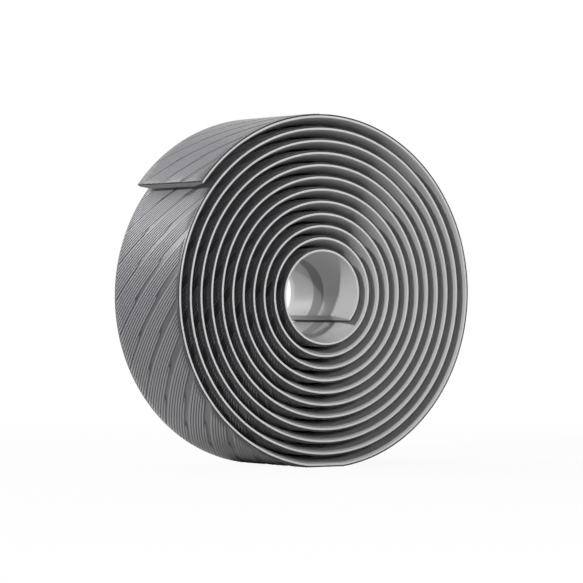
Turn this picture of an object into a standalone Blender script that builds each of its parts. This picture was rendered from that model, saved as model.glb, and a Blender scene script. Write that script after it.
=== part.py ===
"""A roll of handlebar tape: one cushioned strip, cut square, grooved and wound into an open spiral.

The strip is modelled flat, the way it is made. Its tread gets diagonal grooves, and then every
point of it is wound onto a spiral with even gaps between the turns. The roll stands on its
tread, where the outermost turn is pressed a little flat. Metres, +Z up, the roll's axis along Y
and the face that shows its inner end towards -Y. The origin is under the middle of the roll.
"""
import math

import bmesh
import bpy
import numpy as np
from mathutils import Vector

# Section of the strip
TAPE_WIDTH = 0.0320
TAPE_THICKNESS = 0.00225
EDGE_THICKNESS = 0.0009
BEVEL_WIDTH = 0.0056

# Winding, seen from the front, with angles counter-clockwise from three o'clock
CORE_RADIUS = 0.0086
TURN_GAP = 0.00091
TURNS = 11.51
INNER_END_ANGLE = math.radians(-41.0)
REST_FLAT_WIDTH = 0.0104

# Tread: fine diagonal ribs in groups, with a smooth groove after each group; a group and its
# groove together take the room of this many ribs
RIB_PITCH = 0.00109
GROUP_IN_RIBS = 8.44
FEWEST_RIBS = 6
GROOVE_LEAN = 0.845
GROOVE_DEPTH = 0.00025
GROOVE_PHASE = 0.00688
GROOVED_TURNS = 1.06

# Facets: how far a straight facet may lie inside the true curve, how far the groove cutters
# stand past the strip, how near two points count as one, and the steps of the length table
FACET_SAG = 0.00005
CUTTER_OVERHANG = 0.002
SNAP_DISTANCE = 0.000001
LENGTH_STEPS = 40000
SHARP_ANGLE = math.radians(30.0)

# Finish
TAPE_COLOUR = (0.13, 0.13, 0.14, 1.0)
TAPE_ROUGHNESS = 0.55

TURN_PITCH = TAPE_THICKNESS + TURN_GAP
OUTER_END_ANGLE = INNER_END_ANGLE + TURNS * math.tau
GROWTH = TURN_PITCH / math.tau
GROUP_PITCH = RIB_PITCH * GROUP_IN_RIBS


def tread_radius(angle):
    """Radius of the tread at a winding angle: it grows by one pitch with each turn."""
    return CORE_RADIUS + TAPE_THICKNESS + GROWTH * (angle - INNER_END_ANGLE)


def tread_length(angle):
    """Length of tread from the spiral's own pole to a winding angle, in closed form."""
    turn = tread_radius(angle) / GROWTH
    return 0.5 * GROWTH * (turn * np.sqrt(1.0 + turn ** 2) + np.arcsinh(turn))


STRIP_LENGTH = float(tread_length(OUTER_END_ANGLE) - tread_length(INNER_END_ANGLE))


def lowest_angle():
    """Winding angle of the lowest point of the outermost turn."""
    down = -0.25 * math.tau
    turns_up = math.floor((OUTER_END_ANGLE - down) / math.tau)
    angle = down + turns_up * math.tau
    return angle + math.atan(GROWTH / tread_radius(angle))


LOWEST_ANGLE = lowest_angle()
LOWEST_RADIUS = float(tread_radius(LOWEST_ANGLE))
REST_HALF_ANGLE = math.asin(0.5 * REST_FLAT_WIDTH / LOWEST_RADIUS)
REST_DROP = LOWEST_RADIUS * math.cos(REST_HALF_ANGLE)


def row_angles():
    """Winding angles of the bends: each facet keeps the same small sag, so outer turns have more."""
    angles = [INNER_END_ANGLE]
    while angles[-1] < OUTER_END_ANGLE:
        radius = tread_radius(angles[-1])
        angles.append(angles[-1] + 2.0 * math.acos(1.0 - FACET_SAG / radius))
    wound = np.array(angles) - INNER_END_ANGLE
    spread = INNER_END_ANGLE + wound * (TURNS * math.tau / wound[-1])
    flat_edges = [LOWEST_ANGLE - REST_HALF_ANGLE, LOWEST_ANGLE + REST_HALF_ANGLE]
    return np.sort(np.concatenate([spread, flat_edges]))


def strip_section():
    """Corners of the section, as (place across, height), with the tread on top at height zero."""
    half = 0.5 * TAPE_WIDTH
    return [
        (half, 0.0),
        (-half, 0.0),
        (-half, -EDGE_THICKNESS),
        (BEVEL_WIDTH - half, -TAPE_THICKNESS),
        (half - BEVEL_WIDTH, -TAPE_THICKNESS),
        (half, -EDGE_THICKNESS),
    ]


def flat_strip(rows):
    """The plain strip: the section repeated at each row along its length, closed at both ends."""
    section = strip_section()
    mesh = bmesh.new()
    loops = [[mesh.verts.new((place, across, height)) for across, height in section]
             for place in rows]
    for before, after in zip(loops, loops[1:]):
        for corner in range(len(section)):
            following = (corner + 1) % len(section)
            mesh.faces.new((before[corner], before[following], after[following], after[corner]))
    mesh.faces.new(loops[0][::-1])
    mesh.faces.new(loops[-1])
    bmesh.ops.recalc_face_normals(mesh, faces=mesh.faces)
    return mesh


def groove_outline(start):
    """Plan of one groove: it narrows by one rib at each third of the width."""
    half = 0.5 * TAPE_WIDTH
    past = half + CUTTER_OVERHANG
    band_edges = [past, half - TAPE_WIDTH / 3.0, half - 2.0 * TAPE_WIDTH / 3.0, -past]
    points = [(start + GROUP_PITCH, -past), (start + GROUP_PITCH, past)]
    for band in range(len(band_edges) - 1):
        side = start + (FEWEST_RIBS + band) * RIB_PITCH
        points += [(side, band_edges[band]), (side, band_edges[band + 1])]
    return [(place + GROOVE_LEAN * (half - across), across) for place, across in points]


def groove_cutter(first, last):
    """One upright prism for each groove that meets the tread between two places on the strip."""
    mesh = bmesh.new()
    reach = GROOVE_LEAN * TAPE_WIDTH + GROUP_PITCH
    origin = last - GROOVE_PHASE
    lowest = math.floor((first - reach - origin) / GROUP_PITCH)
    highest = math.ceil(GROOVE_PHASE / GROUP_PITCH)
    for group in range(lowest, highest + 1):
        outline = groove_outline(origin + group * GROUP_PITCH)
        if min(place for place, across in outline) < first:
            continue
        if min(place for place, across in outline) > last:
            continue
        base = [mesh.verts.new((place, across, -GROOVE_DEPTH)) for place, across in outline]
        face = mesh.faces.new(base)
        lift = bmesh.ops.extrude_face_region(mesh, geom=[face])
        top = [item for item in lift["geom"] if isinstance(item, bmesh.types.BMVert)]
        bmesh.ops.translate(mesh, verts=top, vec=(0.0, 0.0, GROOVE_DEPTH + CUTTER_OVERHANG))
    bmesh.ops.recalc_face_normals(mesh, faces=mesh.faces)
    return mesh


def add_object(name, mesh):
    """Put a bmesh into the scene as a named object."""
    data = bpy.data.meshes.new(name)
    mesh.to_mesh(data)
    mesh.free()
    item = bpy.data.objects.new(name, data)
    bpy.context.scene.collection.objects.link(item)
    return item


def carve(strip, cutter):
    """Cut the grooves out of the strip and return the carved shape."""
    cut = strip.modifiers.new("grooves", "BOOLEAN")
    cut.operation = "DIFFERENCE"
    cut.solver = "EXACT"
    cut.object = cutter
    carved = strip.evaluated_get(bpy.context.evaluated_depsgraph_get())
    mesh = bmesh.new()
    mesh.from_mesh(carved.to_mesh())
    carved.to_mesh_clear()
    strip.modifiers.remove(cut)
    return mesh


def bend_lines(mesh, rows, first):
    """Give the groove floors a bend at each row, so that they follow the winding."""
    for place in rows:
        if place <= first or place >= STRIP_LENGTH - SNAP_DISTANCE:
            continue
        near = [face for face in mesh.faces
                if min(vert.co.x for vert in face.verts) < place - SNAP_DISTANCE
                and max(vert.co.x for vert in face.verts) > place + SNAP_DISTANCE]
        around = set(near)
        for face in near:
            around.update(face.edges)
            around.update(face.verts)
        bmesh.ops.bisect_plane(mesh, geom=list(around), dist=SNAP_DISTANCE,
                               plane_co=Vector((place, 0.0, 0.0)),
                               plane_no=Vector((1.0, 0.0, 0.0)))


def wind(mesh):
    """Wind the flat strip: length becomes angle, depth under the tread comes off the radius."""
    spots = np.array([vert.co for vert in mesh.verts])
    angles = np.linspace(INNER_END_ANGLE, OUTER_END_ANGLE, LENGTH_STEPS)
    lengths = tread_length(angles) - tread_length(INNER_END_ANGLE)
    angle = np.interp(spots[:, 0], lengths, angles)
    radius = tread_radius(angle) + spots[:, 2]
    side = radius * np.cos(angle)
    up = radius * np.sin(angle)
    pressed = np.abs(angle - LOWEST_ANGLE) < 2.0 * REST_HALF_ANGLE
    up = np.where(pressed, np.maximum(up, -REST_DROP - spots[:, 2]), up)
    middle = 0.5 * (side.min() + side.max())
    for vert, x, y, z in zip(mesh.verts, side - middle, -spots[:, 1], up + REST_DROP):
        vert.co = Vector((x, y, z))
    bmesh.ops.recalc_face_normals(mesh, faces=mesh.faces)


def tape_material():
    """Matt grey polyurethane."""
    material = bpy.data.materials.new("tape")
    material.use_nodes = True
    shader = material.node_tree.nodes["Principled BSDF"]
    shader.inputs["Base Color"].default_value = TAPE_COLOUR
    shader.inputs["Roughness"].default_value = TAPE_ROUGHNESS
    shader.inputs["Metallic"].default_value = 0.0
    return material


def build():
    """Cut, groove and wind the strip, and leave it in the scene as one object."""
    for item in list(bpy.data.objects):
        bpy.data.objects.remove(item, do_unlink=True)
    rows = tread_length(row_angles()) - tread_length(INNER_END_ANGLE)
    strip = add_object("flat_strip", flat_strip(rows))
    grooved_angle = OUTER_END_ANGLE - GROOVED_TURNS * math.tau
    first = float(tread_length(grooved_angle) - tread_length(INNER_END_ANGLE))
    cutter = add_object("groove_cutter", groove_cutter(first, STRIP_LENGTH))
    mesh = carve(strip, cutter)
    bpy.data.objects.remove(cutter, do_unlink=True)
    bpy.data.objects.remove(strip, do_unlink=True)
    bend_lines(mesh, rows, first)
    bmesh.ops.dissolve_degenerate(mesh, dist=SNAP_DISTANCE, edges=mesh.edges)
    bmesh.ops.triangulate(mesh, faces=mesh.faces)
    wind(mesh)
    roll = add_object("tape_roll", mesh)
    roll.data.materials.append(tape_material())
    roll.data.shade_smooth()
    roll.data.set_sharp_from_angle(angle=SHARP_ANGLE)
    return roll


tape_roll = build()
print("tape_roll:", len(tape_roll.data.polygons), "triangles,",
      round(STRIP_LENGTH, 4), "m of tape")
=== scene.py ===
# %% [markdown]
# # A roll of handlebar tape
# The real object is one strip of cushioned tape, about 2.1 m long, wound as an open spiral and
# stood on its tread. The strip is a sandwich: a dark, embossed skin outside, a light foam under
# it, and a narrow matt band down the middle of its back. Every layer is made flat first, as the
# maker does it, from numpy grids, and then one winding formula takes it onto the spiral.
#
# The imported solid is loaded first. It is the fixed frame: the same size, place and winding.

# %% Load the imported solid
import math

import bpy
import numpy as np
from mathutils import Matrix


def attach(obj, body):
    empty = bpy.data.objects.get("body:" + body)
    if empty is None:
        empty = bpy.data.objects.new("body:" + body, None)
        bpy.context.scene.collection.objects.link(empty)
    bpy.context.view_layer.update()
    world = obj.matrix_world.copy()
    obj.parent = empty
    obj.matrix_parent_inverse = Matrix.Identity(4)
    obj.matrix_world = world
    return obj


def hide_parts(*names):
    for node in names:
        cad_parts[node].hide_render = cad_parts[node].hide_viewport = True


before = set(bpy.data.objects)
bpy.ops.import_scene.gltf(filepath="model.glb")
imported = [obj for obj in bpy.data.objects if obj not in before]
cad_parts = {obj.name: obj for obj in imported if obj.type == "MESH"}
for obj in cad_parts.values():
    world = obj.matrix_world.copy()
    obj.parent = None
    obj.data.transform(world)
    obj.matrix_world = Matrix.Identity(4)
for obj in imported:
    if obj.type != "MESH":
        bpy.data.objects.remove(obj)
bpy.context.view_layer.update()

# %% [markdown]
# ## Sizes
# The sizes of the strip and of its winding are those of the solid, in metres. Seen from the
# front, angles run counter-clockwise from three o'clock, and they keep growing from turn to turn,
# so one number says both where a point is and which turn it is on.

# %% Sizes of the strip and of its winding
TAPE_WIDTH = 0.0320
TAPE_THICKNESS = 0.00225
CORE_RADIUS = 0.0086
TURN_PITCH = 0.00316
TURNS = 11.51
INNER_END_ANGLE = math.radians(-41.0)
OUTER_END_ANGLE = INNER_END_ANGLE + TURNS * math.tau
print("outer end at", round(math.degrees(OUTER_END_ANGLE) % 360.0, 1), "degrees")

# %% [markdown]
# ## The spiral
# An Archimedean spiral grows by the same pitch with every turn, so its radius is a straight line
# over the angle. The length along it has a closed form, and a table of that form, read
# backwards, gives the angle at any place on the strip.

# %% Spiral radius and length
GROWTH = TURN_PITCH / math.tau
TABLE_STEPS = 60000


def tread_radius(angle):
    """Core radius plus the strip's thickness, plus one pitch for each whole turn so far."""
    return CORE_RADIUS + TAPE_THICKNESS + GROWTH * (angle - INNER_END_ANGLE)


def tread_length(angle):
    """Arc length: half the growth times (u root(1 + u u) + arsinh u), with u = radius / growth."""
    turn = tread_radius(angle) / GROWTH
    return 0.5 * GROWTH * (turn * np.sqrt(1.0 + turn ** 2) + np.arcsinh(turn))


table_angles = np.linspace(INNER_END_ANGLE, OUTER_END_ANGLE, TABLE_STEPS)
table_lengths = tread_length(table_angles) - tread_length(INNER_END_ANGLE)
STRIP_LENGTH = float(table_lengths[-1])
print("length of tape:", round(STRIP_LENGTH, 4), "m")

# %% [markdown]
# ## Standing on the ground
# The lowest stretch of the outermost turn is pressed flat, because foam gives a little under the
# roll's own weight. The spiral's lowest point is just past six o'clock, by the small angle at
# which its radius grows. The object's origin is on the ground, under the middle of its box.

# %% Where the roll stands
REST_FLAT_WIDTH = 0.0104
QUARTER_TURN = 0.25 * math.tau

lowest_turns = math.floor((OUTER_END_ANGLE + QUARTER_TURN) / math.tau)
lowest_angle = (lowest_turns - 0.25) * math.tau
lowest_angle += math.atan(GROWTH / tread_radius(lowest_angle))
lowest_radius = tread_radius(lowest_angle)
rest_half_angle = math.asin(0.5 * REST_FLAT_WIDTH / lowest_radius)
rest_drop = lowest_radius * math.cos(rest_half_angle)

tread_sides = tread_radius(table_angles) * np.cos(table_angles)
middle = 0.5 * (tread_sides.min() + tread_sides.max())
print("spiral centre in mm:", round(-1000 * middle, 2), "across,",
      round(1000 * rest_drop, 2), "up")

# %% [markdown]
# ## Winding a point
# A point's place along the flat strip becomes an angle, and its depth under the tread comes off
# the radius. That keeps the strip square to itself all the way round, and the same formula
# serves every layer, so the layers stay bonded.

# %% From the flat strip to the roll
def wind(place, across, height):
    """x = r cos angle, z = r sin angle, r = tread radius + height; y runs across the strip.

    place is the length from the inner end, across the distance from the front edge, and height
    is above the tread, so it is negative inside the strip. All three are arrays of one shape.
    """
    angle = np.interp(place, table_lengths, table_angles)
    radius = tread_radius(angle) + height
    side = radius * np.cos(angle)
    up = radius * np.sin(angle)
    pressed = np.abs(angle - lowest_angle) < 2.0 * rest_half_angle
    up = np.where(pressed, np.maximum(up, -rest_drop - np.minimum(height, 0.0)), up)
    return np.stack([side - middle, across - 0.5 * TAPE_WIDTH, up + rest_drop], axis=-1)


inner_end = wind(np.zeros(1), np.zeros(1), np.zeros(1))[0]
print("inner end of the tread in mm:", np.round(1000 * inner_end, 2).tolist())

# %% [markdown]
# ## Meshes from grids
# Each layer is a closed tube: rows run along the strip, and each row goes once round the layer's
# section. Two triangles fill each cell of the grid. Where the rows are clipped by a square-cut
# end, some points fall together, so points are merged by their place on the flat strip and
# triangles without area are dropped.

# %% Grid helpers
KEYS_PER_METRE = 1e7


def tube_triangles(rows, around):
    """Two triangles for each cell of a grid whose second direction closes on itself."""
    row, column = np.meshgrid(np.arange(rows - 1), np.arange(around), indexing="ij")
    beside = (column + 1) % around
    a, b = row * around + column, row * around + beside
    c, d = b + around, a + around
    return np.stack([np.stack([a, b, c], -1), np.stack([a, c, d], -1)], 2).reshape(-1, 3)


def fan_cap(loop):
    """Triangles from a convex loop's first point to each of its far sides."""
    return np.stack([np.full(len(loop) - 2, loop[0]), loop[1:-1], loop[2:]], -1)


def zip_cap(upper, lower):
    """Closes a flat end between two chains of points, the upper one a whole multiple finer."""
    cells = np.arange(len(lower) - 1)
    ratio = (len(upper) - 1) // len(cells)
    nearest = (np.arange(len(upper) - 1) + ratio - ratio // 2) // ratio
    fans = np.stack([upper[:-1], upper[1:], lower[nearest]], -1)
    links = np.stack([upper[cells * ratio + ratio // 2], lower[1:], lower[:-1]], -1)
    return np.concatenate([fans, links])


def merged(keys, triangles):
    """One point for each different key, and the triangles that still have three of them."""
    whole = np.round(keys * KEYS_PER_METRE).astype(np.int64)
    _, first, inverse = np.unique(whole, axis=0, return_index=True, return_inverse=True)
    triangles = inverse.reshape(-1)[triangles]
    a, b, c = triangles.T
    return first, triangles[(a != b) & (b != c) & (c != a)]


print("a grid of 3 rows of 4 points has", len(tube_triangles(3, 4)), "triangles")

# %% [markdown]
# ## A piece of the roll
# Arrays go into a mesh with foreach_set, which is far quicker than adding faces one by one. The
# layers are bonded to each other, so each piece rides on the one body and stands for the one
# solid. Its object stays at the origin, and its place is in its mesh.

# %% From arrays to a piece
SHARP_ANGLE = math.radians(50.0)


def add_piece(name, points, triangles, materials, finish, relief_and_painted_shade=None):
    """A smooth mesh with its sharp folds kept; finish is each triangle's place in materials."""
    mesh = bpy.data.meshes.new(name)
    mesh.vertices.add(len(points))
    mesh.vertices.foreach_set("co", points.astype(np.float32).ravel())
    mesh.loops.add(3 * len(triangles))
    mesh.loops.foreach_set("vertex_index", triangles.astype(np.int32).ravel())
    mesh.polygons.add(len(triangles))
    mesh.polygons.foreach_set("loop_start", np.arange(0, 3 * len(triangles), 3, dtype=np.int32))
    for material in materials:
        mesh.materials.append(material)
    mesh.polygons.foreach_set("material_index", finish.astype(np.int32))
    # the skin's ridge profile, kept on the mesh for its painted shade and painted light
    if relief_and_painted_shade is not None:
        kept = mesh.attributes.new("relief_and_painted_shade", "FLOAT", "POINT")
        kept.data.foreach_set("value", relief_and_painted_shade.astype(np.float32))
    mesh.update(calc_edges=True)
    mesh.shade_smooth()
    mesh.set_sharp_from_angle(angle=SHARP_ANGLE)
    piece = bpy.data.objects.new(name, mesh)
    bpy.context.scene.collection.objects.link(piece)
    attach(piece, "root")
    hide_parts("tape_roll")
    print(name, "has", len(triangles), "triangles")


# %% [markdown]
# ## Shader maths as Python
# A node tree is easier to read as an expression. This class holds one socket; its operators add
# Math nodes, so noise * 0.1 + 0.4 is two nodes. Colours would turn grey in a Math node, so they
# go through Mix instead. Every other node comes from one method.

# %% A socket that does arithmetic
class Wire:
    """One output socket of a node tree, or the bare tree before it has one."""

    def __init__(self, tree, socket=None):
        self.tree = tree
        self.socket = socket

    def node(self, kind, settings=None, sockets=None, output=0):
        """Add a node, set its settings first and then its sockets, and hold one of its outputs."""
        node = self.tree.nodes.new(kind)
        for name, value in (settings or {}).items():
            setattr(node, name, value)
        for name, value in (sockets or {}).items():
            if isinstance(value, Wire):
                self.tree.links.new(value.socket, node.inputs[name])
            else:
                node.inputs[name].default_value = value
        return Wire(self.tree, None if output is None else node.outputs[output])

    def also(self, output):
        """Another output of the node that this socket is on."""
        return Wire(self.tree, self.socket.node.outputs[output])

    def maths(self, operation, first, second):
        """A Math node on two values or sockets."""
        return self.node("ShaderNodeMath", {"operation": operation}, {0: first, 1: second})

    def __add__(self, other):
        return self.maths("ADD", self, other)

    def __radd__(self, other):
        return self.maths("ADD", other, self)

    def __mul__(self, other):
        return self.maths("MULTIPLY", self, other)

    def __rmul__(self, other):
        return self.maths("MULTIPLY", other, self)

    def larger(self, other):
        """The larger of two values."""
        return self.maths("MAXIMUM", self, other)

    def between(self, first, second):
        """A colour from first, where this is 0, to second, where it is 1."""
        return self.node("ShaderNodeMix", {"data_type": "RGBA"}, {0: self, 6: first, 7: second}, 2)


# %% [markdown]
# ## Helpers for the finishes
# Every finish below is noise of some size, read in the piece's own space, that goes into colour
# and roughness, and as bump into the normal. A number that is the same all over is set on the
# shader's own socket.

# %% Material helpers
NOISE_DETAIL = 3.0


def new_material(name):
    """A principled material: itself, its tree as a Wire, and its shader node."""
    material = bpy.data.materials.new(name)
    material.use_nodes = True
    shader = material.node_tree.nodes["Principled BSDF"]
    return material, Wire(material.node_tree), shader


def feed(shader, **sockets):
    """Link or set the shader's sockets; an underscore in a name stands for a space."""
    for name, value in sockets.items():
        socket = shader.inputs[name.replace("_", " ")]
        if isinstance(value, Wire):
            value.tree.links.new(value.socket, socket)
        else:
            socket.default_value = value


def noise(tree, scale, roughness=0.5):
    """Noise from 0 to 1 in the piece's own space, with scale in grains a metre."""
    own = tree.node("ShaderNodeTexCoord", output="Object")
    return tree.node("ShaderNodeTexNoise", {}, {
        "Vector": own, "Scale": scale, "Detail": NOISE_DETAIL, "Roughness": roughness}, "Fac")


def bump(tree, height, depth):
    """Relief: height from 0 to 1 stands for depth metres."""
    return tree.node("ShaderNodeBump", {}, {
        "Height": height, "Distance": depth, "Strength": 1.0}, "Normal")


# %% [markdown]
# ## Finish of the skin
# The skin is a polyurethane film, violet-grey and satin. Its ribs look lighter than the smooth
# grooves between them. One tone for both would hide the pattern, so each point's height in the
# embossing is kept on the mesh as an attribute, and paints shade and light into its colour:
# near black in the smooth grooves and the valleys between ribs as painted shade, paler on the
# rib tops as painted light. It drives a little of the roughness too. A cloud of some
# millimetres and a very fine grain vary both, the grain breaks up the gloss as bump, and a weak
# sheen lifts the slopes that turn away. Where the skin was cut, along both edges and at both
# ends, its bare section is rough and nearly black.

# %% Skin and its section
def skin_finish():
    """Satin film: painted shade in its grooves and valleys, painted light on its rib tops."""
    material, tree, shader = new_material("embossed_skin")
    cloud = noise(tree, 70.0)
    grain = noise(tree, 5200.0, 0.6)
    relief_and_painted_shade = tree.node("ShaderNodeAttribute", {"attribute_name": "relief_and_painted_shade"}, output="Fac")
    # painted shade near black in the grooves and valleys, painted light on the rib tops
    shade = relief_and_painted_shade * (cloud * 0.2 + grain * 0.03 + 0.88)
    feed(shader,
         Base_Color=shade.between((0.014, 0.013, 0.018, 1.0), (0.150, 0.145, 0.163, 1.0)),
         Roughness=grain * 0.03 + cloud * 0.05 + relief_and_painted_shade * 0.04 + 0.34,
         Normal=bump(tree, grain, 0.000003),
         Sheen_Weight=0.28,
         Sheen_Roughness=0.5)
    return material


def section_finish():
    """The bare cut through the film."""
    material, tree, shader = new_material("skin_section")
    grain = noise(tree, 4000.0, 0.6)
    feed(shader,
         Base_Color=grain.between((0.016, 0.016, 0.019, 1.0), (0.030, 0.030, 0.034, 1.0)),
         Roughness=grain * 0.2 + 0.55,
         Normal=bump(tree, grain, 0.00002))
    return material


embossed_skin = skin_finish()
skin_section = section_finish()
print("finishes of the skin:", embossed_skin.name, skin_section.name)

# %% [markdown]
# ## Finish of the foam
# The foam is a closed-cell sheet that shows in three ways. Its moulded back is pale and fairly
# smooth, with fine cells from a Voronoi texture. The thin edges, where the strip was slit from
# the sheet, are painted the palest of all, as painted light from the front lamp, and draw the
# bright lines of the spiral. The outer end was sheared; it turns down, away from the lamps, and
# is painted greyer as painted shade. It is the roughest.

# %% Back, edge and sheared end of the foam
def back_finish():
    """The moulded back, with its fine cells."""
    material, tree, shader = new_material("pale_foam")
    own = tree.node("ShaderNodeTexCoord", output="Object")
    cells = tree.node("ShaderNodeTexVoronoi", {}, {"Vector": own, "Scale": 5200.0}, "Distance")
    cloud = noise(tree, 90.0)
    shade = cells * 0.35 + cloud * 0.65
    feed(shader,
         Base_Color=shade.between((0.56, 0.56, 0.56, 1.0), (0.50, 0.50, 0.505, 1.0)),
         Roughness=cloud * 0.1 + 0.42,
         Normal=bump(tree, cells, 0.000012))
    return material


def painted_lit_edge_finish():
    """The slit edge, cut by a sharp blade, painted pale as painted light from the front."""
    material, tree, shader = new_material("painted_lit_foam_edge")
    cells = noise(tree, 3500.0, 0.6)
    # painted light: near white, far paler than the back of the same foam
    feed(shader,
         Base_Color=cells.between((0.80, 0.80, 0.795, 1.0), (0.88, 0.88, 0.875, 1.0)),
         Roughness=cells * 0.2 + 0.6,
         Normal=bump(tree, cells, 0.00001))
    return material


def painted_shade_end_finish():
    """The sheared outer end, with opened cells, painted darker as painted shade."""
    material, tree, shader = new_material("painted_shade_foam_end")
    grain = noise(tree, 4000.0, 0.6)
    # painted shade: far darker than the back of the same foam
    feed(shader,
         Base_Color=grain.between((0.20, 0.20, 0.20, 1.0), (0.27, 0.27, 0.27, 1.0)),
         Roughness=grain * 0.2 + 0.7,
         Normal=bump(tree, grain, 0.00003))
    return material


pale_foam = back_finish()
painted_lit_foam_edge = painted_lit_edge_finish()
painted_shade_foam_end = painted_shade_end_finish()
print("finishes of the foam:", pale_foam.name, painted_lit_foam_edge.name, painted_shade_foam_end.name)

# %% [markdown]
# ## Finish of the band
# The narrow band on the back is a film with a dull face, darker than the foam round it. It has
# next to no gloss, so a high roughness and a coarser grain are all that it needs.

# %% Band finish
def band_finish():
    """A dull grey film."""
    material, tree, shader = new_material("matt_band")
    grain = noise(tree, 3000.0, 0.6)
    feed(shader,
         Base_Color=grain.between((0.31, 0.31, 0.315, 1.0), (0.37, 0.37, 0.375, 1.0)),
         Roughness=grain * 0.1 + 0.82,
         Normal=bump(tree, grain, 0.00002))
    return material


matt_band = band_finish()
print("finish of the band:", matt_band.name)

# %% [markdown]
# ## The pattern of the tread
# The tread has fine ribs that lean across the tape. At the front edge a group of six is followed
# by a smooth groove, and a seventh and an eighth rib start at one and at two thirds of the width,
# each with a short slanted end, so the groove narrows in steps. A plain margin runs along both
# edges. The pattern is a formula on the flat strip, because there every rib is a straight line.
#
# Pitch, group and lean are those of the solid, which has the same smooth grooves round its
# outermost turn. The phase, the distance from the last group's start to the outer end, was read
# from the photograph once more, and is 0.6 mm shorter than the solid's.

# %% Tread pattern
RIB_PITCH = 0.00109
GROUP_IN_RIBS = 8.44
FEWEST_RIBS = 6
MOST_RIBS = FEWEST_RIBS + 2
GROUP_PITCH = RIB_PITCH * GROUP_IN_RIBS
GROOVE_LEAN = 0.845
GROOVE_PHASE = 0.00630
RIB_ROUNDING = 3.4
RIB_END_RAMP = 0.0002
PLAIN_MARGIN = 0.0008
THIRD = TAPE_WIDTH / 3.0
PAST_THE_EDGE = 2.0 * TAPE_WIDTH

groove_start = (STRIP_LENGTH - GROOVE_PHASE) % GROUP_PITCH


def tread_relief(place, across):
    """Ridge 1 - |2 t - 1|^3.4 over each rib's share t: 1 along a rib's top, 0 on smooth tread."""
    lane = (place - GROOVE_LEAN * across - groove_start) / RIB_PITCH
    in_group = np.mod(lane, GROUP_IN_RIBS)
    rib = np.floor(in_group)
    ridge = 1.0 - np.abs(2.0 * (in_group - rib) - 1.0) ** RIB_ROUNDING
    late = rib - FEWEST_RIBS
    begins = np.where(late < 0, PLAIN_MARGIN, (late + 1) * TAPE_WIDTH / 3.0)
    begins = np.where(late > 1, PAST_THE_EDGE, begins)
    inside = np.minimum(across - begins, TAPE_WIDTH - PLAIN_MARGIN - across)
    there = np.clip(inside / RIB_END_RAMP + 0.5, 0.0, 1.0)
    return ridge * there


print("groups of ribs on the tape:", round(STRIP_LENGTH / GROUP_PITCH, 1))

# %% [markdown]
# ## A grid that leans with the ribs
# A square grid would need a point every tenth of a millimetre in both directions to follow
# slanted ribs. This grid leans with them instead: its rows lie along the ribs, so a few points
# across each rib make a round ridge, and very few are needed along it. Only the outermost turn is
# seen from close by and gets the fine steps. The turns inside show their ribs through the gaps,
# and coarser steps are enough there.

# %% Grid of the skin
FINE_STEPS = np.array([0.0, 0.06, 0.14, 0.25, 0.38, 0.5, 0.62, 0.75, 0.86, 0.94])
COARSE_STEPS = np.array([0.0, 0.13, 0.34, 0.66, 0.87])
SMOOTH_STEPS = np.array([0.0, 0.5])


def tread_rows(first_group, last_group, steps):
    """Where the rows meet the front edge: the steps over every rib, then two on the groove."""
    ribs = (np.arange(MOST_RIBS)[:, None] + steps[None, :]).ravel()
    smooth = MOST_RIBS + SMOOTH_STEPS * (GROUP_IN_RIBS - MOST_RIBS)
    in_group = np.concatenate([ribs, smooth])
    groups = GROUP_IN_RIBS * np.arange(first_group, last_group)[:, None] + in_group
    return groove_start + RIB_PITCH * np.append(groups.ravel(), GROUP_IN_RIBS * last_group)


def tread_stops(cells_in_third):
    """Places across the top, with a pair round each margin and round the start of a late rib."""
    ramp = 0.5 * RIB_END_RAMP
    margin = np.array([0.0, PLAIN_MARGIN - ramp])
    return np.concatenate([
        margin,
        np.linspace(PLAIN_MARGIN + ramp, THIRD - ramp, cells_in_third + 1),
        np.linspace(THIRD + ramp, 2.0 * THIRD - ramp, cells_in_third + 1),
        np.linspace(2.0 * THIRD + ramp, TAPE_WIDTH - PLAIN_MARGIN - ramp, cells_in_third + 1),
        TAPE_WIDTH - margin[::-1]])


print("places across the tread, in mm:", np.round(1000 * tread_stops(4), 2).tolist())

# %% [markdown]
# ## The shell of the skin
# Each row goes across the top of the skin and back underneath, so the skin is a closed shell with
# its own thickness. Its square-cut ends and its side edges get the section's finish. They are
# found on the flat strip, as the triangles with all three corners in one end or on one edge.

# %% Shell of the skin
SKIN_THICKNESS = 0.00040
RIB_HEIGHT = 0.00016
RIB_BASE = 0.00004
# painted shade: the ridge profile to this power darkens the skin in its valleys and grooves
RIDGE_SHADE_POWER = 3
TOP_KEY = 0.01
SAME_PLACE = 1e-6


def bare_faces(flat):
    """Which triangles, by their corners on the flat strip, lie in a cut end or a side edge."""
    same = np.ptp(flat, axis=1) < SAME_PLACE
    place, across = flat[:, 0, 0], flat[:, 0, 1]
    at_cut = same[:, 0] & ((place < SAME_PLACE) | (place > STRIP_LENGTH - SAME_PLACE))
    at_edge = same[:, 1] & ~same[:, 0]
    at_edge &= (across < SAME_PLACE) | (across > TAPE_WIDTH - SAME_PLACE)
    return at_cut | at_edge


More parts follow.
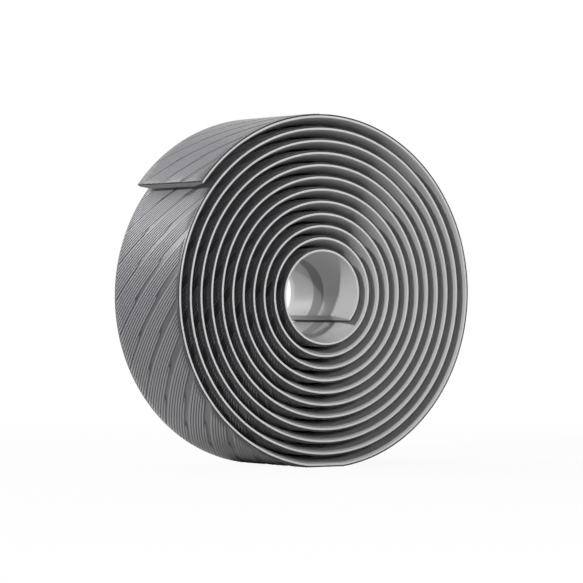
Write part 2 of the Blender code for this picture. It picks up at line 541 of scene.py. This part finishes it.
def skin_stretch(name, first_group, last_group, steps, cells_in_third, cells_under):
    """A closed shell between two valleys: each row goes across the top, then back underneath.

    On top the height is the rib's height times the ridge profile, less the base that ribs stand
    on. A row is slanted by the lean, and clipped to the strip's two ends.
    """
    rows = tread_rows(first_group, last_group, steps)
    top = tread_stops(cells_in_third)
    across = np.concatenate([top, np.linspace(TAPE_WIDTH, 0.0, cells_under + 1)])
    on_top = np.arange(len(across)) < len(top)
    place = np.clip(rows[:, None] + GROOVE_LEAN * across, 0.0, STRIP_LENGTH)
    across, on_top = np.broadcast_to(across, place.shape), np.broadcast_to(on_top, place.shape)
    relief_and_painted_shade = np.where(on_top, tread_relief(place, across), 0.0)
    height = np.where(on_top, RIB_HEIGHT * relief_and_painted_shade - RIB_BASE, -SKIN_THICKNESS)

    loop = np.arange(place.shape[1])
    cap = zip_cap(loop[:len(top)], loop[len(top):][::-1])
    last_row = (len(rows) - 1) * len(loop)
    triangles = np.concatenate([tube_triangles(*place.shape), cap[:, ::-1], cap + last_row])
    keys = np.stack([place, across, TOP_KEY * on_top], -1).reshape(-1, 3)
    first, triangles = merged(keys, triangles)
    points = wind(place, across, height).reshape(-1, 3)[first]
    # the ridge profile, raised to a power, goes to the colour as painted shade and painted light
    add_piece(name, points, triangles, [embossed_skin, skin_section],
              bare_faces(keys[first][triangles]), relief_and_painted_shade.ravel()[first] ** RIDGE_SHADE_POWER)


# %% [markdown]
# ## Three stretches of skin
# One mesh for the whole skin would have half a million triangles, so it is made in three
# stretches. Each one starts and ends in the valley before a group of ribs, where a joint between
# two pieces can't be seen. The last is a little over one turn, all that is seen from outside.

# %% Inner, middle and outer stretch
FINE_TURNS = 1.06

first_group = math.floor(-(GROOVE_LEAN * TAPE_WIDTH + groove_start) / GROUP_PITCH)
last_group = math.ceil((STRIP_LENGTH - groove_start) / GROUP_PITCH)
outer_length = FINE_TURNS * math.tau * tread_radius(OUTER_END_ANGLE) + GROOVE_LEAN * TAPE_WIDTH
outer_from = last_group - math.ceil(outer_length / GROUP_PITCH)
half_way = (first_group + outer_from) // 2
skin_stretch("skin_inner_turns", first_group, half_way, COARSE_STEPS, 3, 5)
skin_stretch("skin_middle_turns", half_way, outer_from, COARSE_STEPS, 3, 5)
skin_stretch("skin_outer_turn", outer_from, last_group, FINE_STEPS, 4, 6)

# %% [markdown]
# ## The shape of the foam
# The foam is thickest in the middle and bevelled towards both edges, so that the wraps overlap
# neatly on a bar. A wedge with sharp folds would look like plastic, so the folds are eased and
# the foam swells a little between them. The far bevel is narrower than the near one, because
# little light comes through between the turns.

# %% Depth of the foam
EDGE_THICKNESS = 0.0009
BEVEL_WIDTH = 0.0056
FAR_BEVEL_WIDTH = 0.0042
BEVEL_EASE = 0.0007
FOAM_SWELL = 0.00028


def foam_depth(across):
    """Depth of the back under the tread: full thickness and swell, less a bevel at each edge.

    A bevel falls by its slope times g, the distance outside its top. Within the ease either
    side of the top, g is replaced by the parabola g g / (4 ease), which rounds the fold.
    """
    full = TAPE_THICKNESS + FOAM_SWELL
    depth = np.full(np.shape(across), full)
    for inward, width in ((across, BEVEL_WIDTH), (TAPE_WIDTH - across, FAR_BEVEL_WIDTH)):
        outside = np.clip(width + BEVEL_EASE - inward, 0.0, None)
        rounded = outside ** 2 / (4.0 * BEVEL_EASE)
        fall = np.where(outside < 2.0 * BEVEL_EASE, rounded, outside - BEVEL_EASE)
        depth = depth - (full - EDGE_THICKNESS) / width * fall
    return depth


print("foam depth at the edge and in the middle, in mm:",
      np.round(1000 * foam_depth(np.array([0.0, 0.5 * TAPE_WIDTH])), 2).tolist())

# %% [markdown]
# ## A section carried along the strip
# Foam and band are both a convex section carried along the strip, in rows a rib apart. Shears
# squeeze a foam strip where they cut it, so near both ends the back comes up towards the tread,
# more at the outer end, as in the photograph. The two ends are closed with flat caps.

# %% Tube along the strip
OUTER_PINCH = 0.00048
INNER_PINCH = 0.00025
PINCH_REACH = 0.010
BACK_SLOT, OUTER_CUT_SLOT, EDGE_SLOT = 0, 1, 2


def tube_along(name, across, height, materials):
    """Carry a section loop along the whole strip, and close both ends.

    Near each end the back comes up by that end's pinch times (1 - d / reach) squared. The
    materials are those of the back and the inner end, of the outer end, and of the thin edges.
    """
    rows = np.linspace(0.0, STRIP_LENGTH, math.ceil(STRIP_LENGTH / RIB_PITCH) + 1)
    place = np.repeat(rows[:, None], len(across), axis=1)
    outer = np.clip(1.0 - (STRIP_LENGTH - place) / PINCH_REACH, 0.0, 1.0)
    inner = np.clip(1.0 - place / PINCH_REACH, 0.0, 1.0)
    deep = np.clip(-height - EDGE_THICKNESS, 0.0, None) / (TAPE_THICKNESS - EDGE_THICKNESS)
    raised = height + deep * (OUTER_PINCH * outer ** 2 + INNER_PINCH * inner ** 2)
    points = wind(place, np.broadcast_to(across, place.shape), raised)

    cap = fan_cap(np.arange(len(across)))
    last_row = (len(rows) - 1) * len(across)
    triangles = np.concatenate([tube_triangles(*place.shape), cap[:, ::-1], cap + last_row])
    upright = np.ptp(np.tile(across, len(rows))[triangles], axis=1) == 0.0
    finish = np.where(upright, EDGE_SLOT, BACK_SLOT)
    # the outer end's cap gets the painted shade; the inner end keeps the back's finish
    finish[len(triangles) - len(cap):] = OUTER_CUT_SLOT
    add_piece(name, points.reshape(-1, 3), triangles, materials, finish)


# %% [markdown]
# ## The foam
# The section's points are closest together at the two eased folds and further apart on the flat
# between them. It starts at the skin's underside and goes round by the far edge and the back.

# %% Foam
EASE_STEPS = BEVEL_EASE * np.array([-1.0, -0.4, 0.4, 1.0])
NEAR_STOPS = [0.0085, 0.0115, 0.0140]
FAR_STOPS = [0.0070, 0.0100, 0.0130]

near = np.concatenate([[0.0], BEVEL_WIDTH + EASE_STEPS, NEAR_STOPS])
far = TAPE_WIDTH - np.concatenate([[0.0], FAR_BEVEL_WIDTH + EASE_STEPS, FAR_STOPS])
back = np.concatenate([far, [0.5 * TAPE_WIDTH], near[::-1]])
across = np.concatenate([[0.0, TAPE_WIDTH], back])
height = np.concatenate([[-SKIN_THICKNESS, -SKIN_THICKNESS], -foam_depth(back)])
tube_along("foam_core", across, height, [pale_foam, painted_shade_foam_end, painted_lit_foam_edge])

# %% [markdown]
# ## The band
# A narrow film is bonded along the middle of the back. On the real strip it has almost no
# thickness. As a closed piece it needs some, so it is the same kind of tube, very thin, that
# stands 0.03 mm proud of the foam with eased sides and is sunk into it below.

# %% Band on the back
BAND_WIDTH = 0.0049
BAND_PROUD = 0.00003
BAND_SUNK = 0.00010
BAND_STEPS = np.array([1.0, 0.96, 0.5, 0.0, -0.5, -0.96, -1.0])
BAND_SHAPE = np.array([0.0, 1.0, 1.0, 1.0, 1.0, 1.0, 0.0])

back = 0.5 * (TAPE_WIDTH + BAND_WIDTH * BAND_STEPS)
across = np.concatenate([back[[-1, 0]], back])
height = np.concatenate([
    BAND_SUNK - foam_depth(back[[-1, 0]]), -foam_depth(back) - BAND_PROUD * BAND_SHAPE])
tube_along("back_band", across, height, [matt_band] * 3)

# %% [markdown]
# ## Camera
# The photograph was taken with a long lens, level with the middle of the roll and about 33
# degrees round to its left. The lens and the place come from the spiral's bright edges: equal
# steps from turn to turn fix the scale, the tilt of the front face and the distance.

# %% Camera
SENSOR_WIDTH = 36.0
LENS = 200.65
CAMERA_FROM_CENTRE = (-0.46638, -0.70309, -0.00009)
CAMERA_TILT = math.radians(90.053)
CAMERA_TURN = math.radians(-32.974)

scene = bpy.context.scene
camera_data = bpy.data.cameras.new("studio_camera")
camera_data.sensor_width = SENSOR_WIDTH
camera_data.lens = LENS
camera = bpy.data.objects.new("studio_camera", camera_data)
scene.collection.objects.link(camera)
front_centre = (-middle, -0.5 * TAPE_WIDTH, rest_drop)
camera.location = [a + b for a, b in zip(front_centre, CAMERA_FROM_CENTRE)]
camera.rotation_euler = (CAMERA_TILT, 0.0, CAMERA_TURN)
scene.camera = camera
print("camera in mm:", [round(1000 * value) for value in camera.location])

# %% [markdown]
# ## Light
# The key lamp is at the front left, a little above, and small enough for clear shadow edges in
# the hole and between the turns. A second small one from the back left lights the far bevels and
# the side of the tread. A broad lamp above, a little behind, brightens the top. It isn't put
# right behind the roll, because the smooth grooves would mirror it there and turn light, so only
# a weak rim lamp stands there. The front lamp fills the cut edges. Their powers were found by
# rendering each lamp alone, and adding the pictures up until the tones agreed.

# %% Lamps
LAMP_DISTANCE = 1.5
aim = np.array([0.0, 0.0, rest_drop])


def lamp(name, toward, size, watts):
    """A square lamp in a direction from the roll's middle, turned to face the roll."""
    direction = np.array(toward) / np.linalg.norm(toward)
    data = bpy.data.lights.new(name, "AREA")
    data.shape, data.size, data.energy = "SQUARE", size, watts
    item = bpy.data.objects.new(name, data)
    scene.collection.objects.link(item)
    item.location = aim + LAMP_DISTANCE * direction
    back_to_roll = -direction
    turn = math.atan2(back_to_roll[1], back_to_roll[0])
    tilt = math.acos(-back_to_roll[2])
    item.rotation_euler = (tilt, 0.0, turn - QUARTER_TURN)
    print("lamp", name, "in mm:", [round(1000 * value) for value in item.location])


lamp("key", (-0.83, -0.35, 0.48), 0.05, 13.2)
lamp("back_left", (-0.60, 0.70, 0.40), 0.10, 10.0)
lamp("rim", (-0.33, 0.84, 0.42), 0.7, 3.4)
lamp("above", (0.0, 0.30, 1.00), 1.0, 11.8)
lamp("front", (0.0, -1.0, 0.35), 0.3, 4.6)

# %% [markdown]
# ## White background
# A white world that also lit the roll would wash it out. The world is therefore white only to the
# camera and to rays that a gloss or a glass sends on, and it gives no other light.

# %% World
WHITE = (1.0, 1.0, 1.0, 1.0)


def rays(tree):
    """1 for rays from the camera, and 1 for rays that a gloss or a glass sends on."""
    camera_ray = tree.node("ShaderNodeLightPath", output="Is Camera Ray")
    reflected = camera_ray.also("Is Glossy Ray").larger(camera_ray.also("Is Transmission Ray"))
    return camera_ray, reflected


world = bpy.data.worlds.new("studio")
scene.world = world
world.use_nodes = True
world.node_tree.nodes.clear()
tree = Wire(world.node_tree)
seen, reflected = rays(tree)
sky = tree.node("ShaderNodeBackground", {}, {"Color": WHITE, "Strength": seen.larger(reflected)})
tree.node("ShaderNodeOutputWorld", {}, {"Surface": sky}, output=None)
print("world nodes:", len(world.node_tree.nodes))

# %% [markdown]
# ## Floor
# The floor is a wide sheet of pale paper. The camera sees it nearly white, mixed with a little of
# its own shading near the roll, so that a faint shadow stays, and wholly white further out, where
# it meets the background unseen. Reflections see its own shading close to the roll and white
# further out, so that the tread's underside stays as dark as it should be.

# %% Floor sheet
FLOOR_RADIUS = 6.0
FLOOR_CORNERS = 64
FLOOR_BELOW = 0.0001

ring = np.linspace(0.0, math.tau, FLOOR_CORNERS + 1)[:-1]
outline = np.stack([np.cos(ring), np.sin(ring), 0.0 * ring], -1) * FLOOR_RADIUS
floor_mesh = bpy.data.meshes.new("floor")
floor_mesh.from_pydata(outline.tolist(), [], [list(range(FLOOR_CORNERS))])
floor = bpy.data.objects.new("floor", floor_mesh)
scene.collection.objects.link(floor)
floor.location = (0.0, 0.0, -FLOOR_BELOW)
print("floor is", 2.0 * FLOOR_RADIUS, "m across")

# %% Floor finish
FADE_FROM, FADE_TO = 0.05, 0.40
OWN_SHADING = 0.06

material, tree, shader = new_material("pale_floor")
floor_mesh.materials.append(material)
own = tree.node("ShaderNodeTexCoord", output="Object")
away = tree.node("ShaderNodeVectorMath", {"operation": "LENGTH"}, {0: own}, "Value")
paper = noise(tree, 300.0)
feed(shader,
     Base_Color=paper.between((0.56, 0.56, 0.56, 1.0), (0.60, 0.60, 0.60, 1.0)),
     Roughness=0.8)
fade = tree.node("ShaderNodeMapRange", {"interpolation_type": "SMOOTHSTEP"}, {
    "Value": away, "From Min": FADE_FROM, "From Max": FADE_TO}, "Result")
seen, reflected = rays(tree)
whiteness = (seen * (fade * OWN_SHADING + (1.0 - OWN_SHADING))).larger(reflected * fade)
white = tree.node("ShaderNodeEmission", {}, {"Color": WHITE, "Strength": 1.0})
plain = Wire(tree.tree, shader.outputs["BSDF"])
shown = tree.node("ShaderNodeMixShader", {}, {0: whiteness, 1: plain, 2: white})
tree.tree.links.new(shown.socket, material.node_tree.nodes["Material Output"].inputs["Surface"])
print("floor fades to white from", FADE_FROM, "to", FADE_TO, "m")

# %% [markdown]
# ## Colours as written
# The Standard view keeps colours as they are written.

# %% View
scene.view_settings.view_transform = "Standard"
